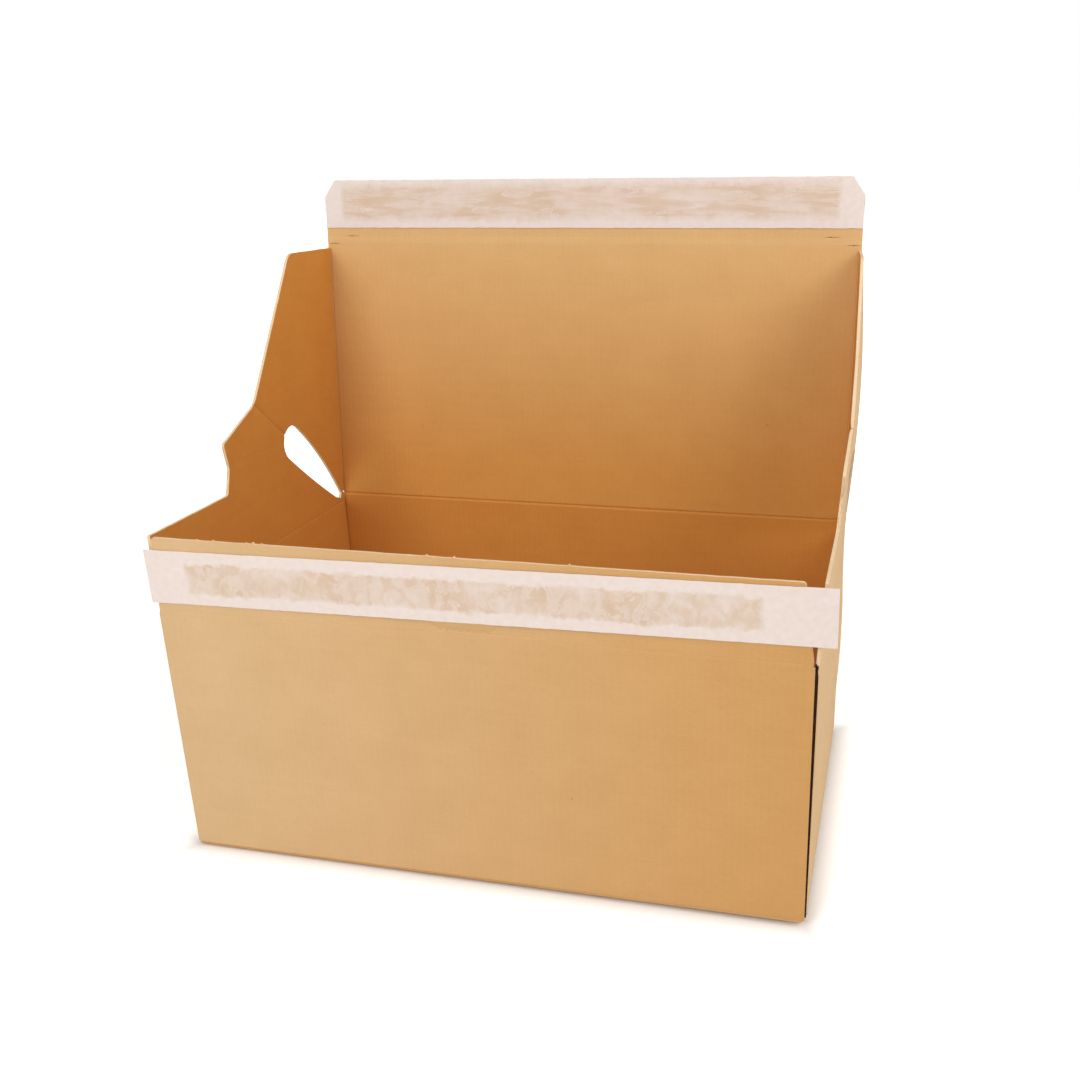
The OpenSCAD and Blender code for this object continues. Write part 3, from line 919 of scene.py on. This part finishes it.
WING_SPLAY = math.asin((WEB_LEN * math.sin(WEB_ANGLE) + 0.005) * math.sin(SPLAY)
                       / (WEB_LEN * math.cos(WEB_ANGLE - LID_LEAN)))
WING_BELLY, WING_CURL = 0.0030, 0.0007
WIDEST, WIDEST_AT, TAPER = 0.101, 0.068, 0.59
WING_FORWARD = LID_IN * math.cos(WING_SPLAY) + Vector((math.sin(WING_SPLAY), 0, 0))


def wing_plane(side):
    """Places board on a wing's plane. The right wing leans out and curls a little at its top."""
    def place(u, v, h):
        if side < 0:
            return LID_FOOT + LID_UP * v + LID_IN * u - Vector((HALF_W - BOARD_T + h, 0, 0))
        out = Vector((math.cos(WING_SPLAY), 0, 0)) - LID_IN * math.sin(WING_SPLAY)
        point = (LID_FOOT + LID_UP * v + Vector((HALF_W - BOARD_T, 0, 0)) - LID_IN * BOARD_T
                 + WING_FORWARD * (u + BOARD_T) + out * h)
        edge = WIDEST * v / WIDEST_AT if v < WIDEST_AT else WIDEST - (v - WIDEST_AT) * TAPER
        across = math.sin(math.pi * unit(u / max(edge, 0.001)))
        belly = across * math.sin(math.pi * unit(v / WING_LEN))
        curl = unit((v - WIDEST_AT) / 0.03) * unit(u / 0.06)
        point.x += sprung(point.y, point.z) + WING_BELLY * belly + WING_CURL * curl
        return point
    return place


for side, word in ((-1, "left"), (1, "right")):
    bm = bmesh.new()
    fold = (on_lid(*WEB_FOLD[0]), on_lid(*WEB_FOLD[1]))
    bands = [((0.0, v), (0.12, v)) for v in [0.008 * k for k in range(1, 20)]]
    bands += [((u, 0.0), (u, 0.16)) for u in [0.008 * k for k in range(1, 13)]]
    hinge = ((fold_w, CREASE_HALF), (fold_w, WING_LEN))
    outline = ragged(wing_outline(), DIE_STEP, DIE_DEPTH, 21 + side, [hinge, fold])
    add_board(bm, [outline], wing_plane(side), folds=[fold], cuts=bands,
              levels=[WING_LEN * k / 12 for k in range(1, 12)] if side > 0 else ())
    wing = finish_piece(bm, f"{word}_wing_board", "lid", [f"{word}_lid_wing"])
    anchor = LID_FOOT + Vector((side * HALF_W, 0, 0))
    tuple(anchor)
    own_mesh(wing)


# ---- Closing strips --------------------------------------------------------------------
# A band of hot-melt adhesive runs along the lid's free edge and along the front flap, each
# under a peel-off strip of silicone-coated paper. The glue shows through as blotchy beige.
# The front strip was laid a little askew and runs on past the box's right side.
STRIP_GLUE_T, STRIP_T = 0.0003, 0.0002
FRONT_RISE, FRONT_SLANT = 0.0046, math.radians(0.8)
FRONT_START, FRONT_OVERHANG = -0.0015, 0.008


def strip_material(name, glue_from, glue_to, grain, middle, full, faded):
    """Thin pale release paper, with the glue behind it showing where it is bedded down."""
    material, tree, shader = principled(name)
    place = wire(tree, "UVMap", uv_map="board").outputs[0]
    split = wire(tree, "SeparateXYZ", {0: place}).outputs
    wander = noise_map(tree, place, 160.0, 4.0, Roughness=0.6)
    stretched = wire(tree, "Mapping", {"Vector": place, "Scale": (*grain, 1.0)}).outputs[0]
    swirl = noise_map(tree, stretched, 1.0, 5.0, Roughness=0.62, Distortion=0.7)
    big = noise_map(tree, place, 34.0, 2.0)
    shift = times(tree, minus(tree, wander, 0.5), 0.007)
    shift = plus(tree, shift, times(tree, minus(tree, big, 0.5), 0.004))
    v = math_node(tree, "ABSOLUTE", minus(tree, plus(tree, split[1], shift), middle))
    band = ramp(tree, v, full, faded, 1.0, 0.0)
    along = plus(tree, split[0], shift)
    left = ramp(tree, along, glue_from, glue_from + 0.003)
    right = ramp(tree, along, glue_to - 0.003, glue_to, 1.0, 0.0)
    mask = times(tree, times(tree, band, left), right)
    patch = plus(tree, ramp(tree, big, 0.38, 0.62, 0.2, 0.5), ramp(tree, swirl, 0.38, 0.62, 0.0, 0.42))
    glued = times(tree, mask, patch, clamp=True)
    ridge = math_node(tree, "ABSOLUTE", minus(tree, swirl, 0.47))
    wrinkle = times(tree, ramp(tree, ridge, 0.0, 0.028, 1.0, 0.0), ramp(tree, big, 0.45, 0.62))
    wrinkle = times(tree, wrinkle, mask)
    paper = noise_map(tree, place, 300.0, 5.0)
    white = mix_colour(tree, ramp(tree, paper, 0.3, 0.7), (0.800, 0.690, 0.640, 1), (0.850, 0.745, 0.700, 1))
    colour = mix_colour(tree, glued, white, (0.665, 0.485, 0.335, 1))
    colour = mix_colour(tree, times(tree, wrinkle, 0.6), colour, (0.900, 0.800, 0.740, 1))
    height = plus(tree, times(tree, glued, 0.5), times(tree, paper, 0.15))
    height = plus(tree, height, times(tree, wrinkle, 0.6))
    dress(tree, shader, colour, ramp(tree, paper, 0.3, 0.7, 0.42, 0.6), height, 0.0002, 0.6)
    shader.inputs["Specular IOR Level"].default_value = 0.4
    return material


def paper_strip(name, body, node, outline, place, material):
    """A thin strip laid on the board, fine enough to follow its small puckers."""
    us = [p[0] for p in outline]
    vs = [p[1] for p in outline]
    cuts = []
    count = max(2, int((max(us) - min(us)) / 0.004))
    for k in range(1, count):
        u = min(us) + (max(us) - min(us)) * k / count
        cuts.append(((u, min(vs) - 0.01), (u, max(vs) + 0.01)))
    for k in range(1, 7):
        v = min(vs) + (max(vs) - min(vs)) * k / 7
        cuts.append(((min(us) - 0.01, v), (max(us) + 0.01, v)))
    flat, faces = cut_to_outline([outline], cuts)
    bm = bmesh.new()
    paper_sheet(bm, flat, faces, place, 0.0, STRIP_T, (), (0, 0))
    for face in bm.faces:
        face.material_index = 0
    return finish_piece(bm, name, body, [node], skins=(material,))


def pucker(u, v, h):
    """Small waves of paper that isn't pressed down evenly: its face lies lower where it sticks."""
    wave = noise.noise(Vector((u * 90, v * 160, 0.3))) + 0.5 * noise.noise(Vector((u * 260, v * 300, 4.1)))
    return STRIP_GLUE_T + h * (1.0 - 0.45 * min(max(0.65 - wave, 0.0), 1.3))


def on_lid_strip(u, v, h):
    return lid_plane(u, LID_LEN - STRIP_W + v, -pucker(u, v, h))


lid_strip = rounded([(-HALF_W, 0, 0), (HALF_W, 0, 0), (HALF_W, STRIP_W - CLIP_H, CORNER_R),
                     (HALF_W - CLIP_W, STRIP_W, CORNER_R), (-HALF_W + CLIP_W, STRIP_W, CORNER_R),
                     (-HALF_W, STRIP_W - CLIP_H, CORNER_R)])
LID_STRIP = strip_material("lid strip paper", -HALF_W + 0.010, HALF_W - 0.012, (34.0, 210.0),
                           middle=0.0152, full=0.0072, faded=0.0118)
paper_strip("lid_strip", "lid", "lid_liner", ragged(lid_strip, 0.003, 0.00015, 31), on_lid_strip, LID_STRIP)


def on_front_strip(u, v, h):
    c, s = math.cos(FRONT_SLANT), math.sin(FRONT_SLANT)
    return Vector((-HALF_W + u * c - v * s, -HALF_D - pucker(u + 1, v, h),
                   FRONT_CREASE_Z + FRONT_RISE + u * s + v * c))


FRONT_STRIP = strip_material("front strip paper", 0.019, 0.306, (150.0, 120.0),
                             middle=0.0138, full=0.0068, faded=0.0086)
strip_from, strip_end = 0.003, FLAP_RIGHT + HALF_W - 0.001
joints = [((u, 0), (u, STRIP_W)) for u in (strip_from, strip_end)]


def strip_part(from_u, to_u):
    return [(from_u, 0), (to_u, 0), (to_u, STRIP_W), (from_u, STRIP_W)]


outline = ragged(strip_part(strip_from, strip_end), 0.003, 0.00012, 41, joints)
paper_strip("front_strip", "front_flap", "front_liner", outline, on_front_strip, FRONT_STRIP)
for name, from_u, to_u, anchor in (
        ("front_strip_tail", strip_end, BOX_W + FRONT_OVERHANG, FLAP_RIGHT - 0.001),
        ("front_strip_head", FRONT_START, strip_from, -HALF_W + 0.0045)):
    outline = strip_part(from_u, to_u)
    loose = paper_strip(name, "front_flap", "front_liner", outline, on_front_strip, FRONT_STRIP)
    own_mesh(loose)


def glue_material():
    material, tree, shader = principled("hot-melt glue")
    place = wire(tree, "TexCoord").outputs["Object"]
    lump = noise_map(tree, place, 240.0, 4.0)
    colour = mix_colour(tree, ramp(tree, lump, 0.3, 0.7), (0.690, 0.500, 0.320, 1), (0.800, 0.640, 0.460, 1))
    dress(tree, shader, colour, ramp(tree, lump, 0.3, 0.7, 0.22, 0.4), lump, 0.0003, 0.8)
    return material


GLUE = glue_material()
for node in ("lid_adhesive", "front_adhesive"):
    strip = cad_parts[node]
    strip.data.materials.clear()
    strip.data.materials.append(GLUE)


# ---- Tear tape -------------------------------------------------------------------------
# A narrow, almost clear film tape glued across the lid's inside below its strip. Pulled
# from one of the nicked ends, it tears the lid open along a straight line.
def film_material():
    """The clear film shows the board's inside paper through it, a little glossier."""
    material, tree, shader = principled("tear film")
    place = wire(tree, "TexCoord").outputs["Object"]
    across = wire(tree, "SeparateXYZ", {0: place}).outputs[0]
    above = wire(tree, "VectorMath", {0: place, 1: tuple(LID_FOOT)}, operation="SUBTRACT").outputs[0]
    up = wire(tree, "VectorMath", {0: above, 1: tuple(LID_UP)}, operation="DOT_PRODUCT").outputs["Value"]
    on_board = wire(tree, "CombineXYZ", {0: across, 1: up}).outputs[0]
    node = tree.nodes.new("ShaderNodeGroup")
    node.node_tree = PAPER_LOOK
    tree.links.new(on_board, node.inputs["Place"])
    # The lid's painted-lighter top tones, so the film carries the same painted light as the lid beside it.
    node.inputs["Light"].default_value = (0.780, 0.500, 0.225, 1)
    node.inputs["Dark"].default_value = (0.705, 0.430, 0.180, 1)
    node.inputs["Washboard"].default_value = 0.8
    tree.links.new(node.outputs["Color"], shader.inputs["Base Color"])
    tree.links.new(times(tree, node.outputs["Roughness"], 0.75), shader.inputs["Roughness"])
    shader.inputs["Specular IOR Level"].default_value = 0.35
    return material


def on_tape(u, v, h):
    """Laid on the lid's inner face, pressed down to a twentieth of a millimetre."""
    return lid_plane(u, TAPE_S + v, -h * 0.25)


tape_outline = [(-HALF_W, 0), (HALF_W, 0), (HALF_W, TAPE_W), (-HALF_W, TAPE_W)]
paper_strip("tear_tape_film", "lid", "tear_tape", tape_outline, on_tape, film_material())


# ---- Floor, light and camera -----------------------------------------------------------
# A white floor and backdrop that glow for the camera, with a painted shadow round the box where the floor's
# glow fades out, one large soft lamp from the front left and above, weaker ones from the right front and the
# right, and a camera where the photographer stood.
def floor_material():
    material, tree, shader = principled("white floor with painted shadow at the box")
    shader.inputs["Base Color"].default_value = (0.92, 0.915, 0.91, 1)
    shader.inputs["Roughness"].default_value = 0.9
    shader.inputs["Specular IOR Level"].default_value = 0.1
    path = wire(tree, "LightPath").outputs
    seen = math_node(tree, "MAXIMUM", path["Is Camera Ray"], path["Is Glossy Ray"])
    place = wire(tree, "TexCoord").outputs["Object"]
    parts = wire(tree, "SeparateXYZ", {0: place}).outputs
    beside = minus(tree, math_node(tree, "ABSOLUTE", parts[0]), HALF_W)
    before = minus(tree, math_node(tree, "ABSOLUTE", parts[1]), HALF_D)
    away = math_node(tree, "MAXIMUM", beside, before)
    # Painted shadow: the glow is nothing under the box and rises over the centimetre beside it, which darkens
    # the floor round the box. Far off it rises again to keep the floor white.
    glow_with_painted_shadow = plus(tree, ramp(tree, away, -0.001, 0.012, 0.0, 0.5), ramp(tree, away, 0.15, 0.8, 0.0, 0.5))
    glow = times(tree, seen, glow_with_painted_shadow)
    tree.links.new(glow, shader.inputs["Emission Strength"])
    shader.inputs["Emission Color"].default_value = (1, 1, 1, 1)
    return material


floor_mesh = bpy.data.meshes.new("floor")
SPREAD = 6.0
FLOOR_Z, FLOOR_SLOPE = -0.0013, -0.0050
floor_mesh.from_pydata([(x, y, FLOOR_Z + FLOOR_SLOPE * x) for x, y in
                        ((-SPREAD, -SPREAD), (SPREAD, -SPREAD), (SPREAD, SPREAD), (-SPREAD, SPREAD))],
                       [], [(0, 1, 2, 3)])
floor_mesh.materials.append(floor_material())
floor = bpy.data.objects.new("floor", floor_mesh)
bpy.context.scene.collection.objects.link(floor)

world = bpy.data.worlds.new("studio")
bpy.context.scene.world = world
world.use_nodes = True
sky = world.node_tree
sky.nodes.clear()
rays = wire(sky, "LightPath").outputs
white = math_node(sky, "MAXIMUM", rays["Is Camera Ray"],
                  math_node(sky, "MAXIMUM", rays["Is Glossy Ray"], rays["Is Transmission Ray"]))
ambient = wire(sky, "Background", {"Color": (1.0, 0.955, 0.885, 1), "Strength": 0.43}).outputs[0]
backdrop = wire(sky, "Background", {"Color": (1, 1, 1, 1), "Strength": 1.0}).outputs[0]
both = wire(sky, "MixShader", {0: white, 1: ambient, 2: backdrop}).outputs[0]
wire(sky, "OutputWorld", {0: both})


def lamp(name, place, aim, size, power):
    light = bpy.data.lights.new(name, "AREA")
    light.shape = "SQUARE"
    light.size = size
    light.energy = power
    made = bpy.data.objects.new(name, light)
    made.location = place
    made.rotation_euler = (Vector(aim) - Vector(place)).to_track_quat("-Z", "Y").to_euler()
    bpy.context.scene.collection.objects.link(made)


lamp("key", (-0.38, -1.00, 0.80), (0, 0, 0.14), 0.6, 6.2)
lamp("right front", (0.75, -0.35, 0.85), (0, 0, 0.16), 0.45, 3.3)
lamp("fill", (1.35, 0.05, 0.62), (0, 0, 0.12), 0.9, 2.6)

CAM_PLACE = Vector((0.1917, -0.5631, 0.3523))
AZ, EL, ROLL = math.radians(13.49), math.radians(20.98), math.radians(-0.83)
FOCAL_PX, CENTRE_X, CENTRE_Y, FRAME_PX = 1137.0, 632.2, 583.9, 1080.0
look = Vector((-math.sin(AZ) * math.cos(EL), math.cos(AZ) * math.cos(EL), -math.sin(EL)))
level = look.cross(Vector((0, 0, 1))).normalized()
top = level.cross(look)
right = level * math.cos(ROLL) + top * math.sin(ROLL)
up = -level * math.sin(ROLL) + top * math.cos(ROLL)
camera_data = bpy.data.cameras.new("camera")
camera_data.sensor_width = 36.0
camera_data.sensor_fit = "HORIZONTAL"
camera_data.lens = 36.0 * FOCAL_PX / FRAME_PX
camera_data.shift_x = -(CENTRE_X - FRAME_PX / 2) / FRAME_PX
camera_data.shift_y = (CENTRE_Y - FRAME_PX / 2) / FRAME_PX
camera_data.clip_start = 0.01
camera = bpy.data.objects.new("camera", camera_data)
pose = camera.matrix_world.copy()
for row in range(3):
    pose[row][0], pose[row][1], pose[row][2], pose[row][3] = right[row], up[row], -look[row], CAM_PLACE[row]
camera.matrix_world = pose
bpy.context.scene.collection.objects.link(camera)
bpy.context.scene.camera = camera
bpy.context.scene.view_settings.view_transform = "Standard"
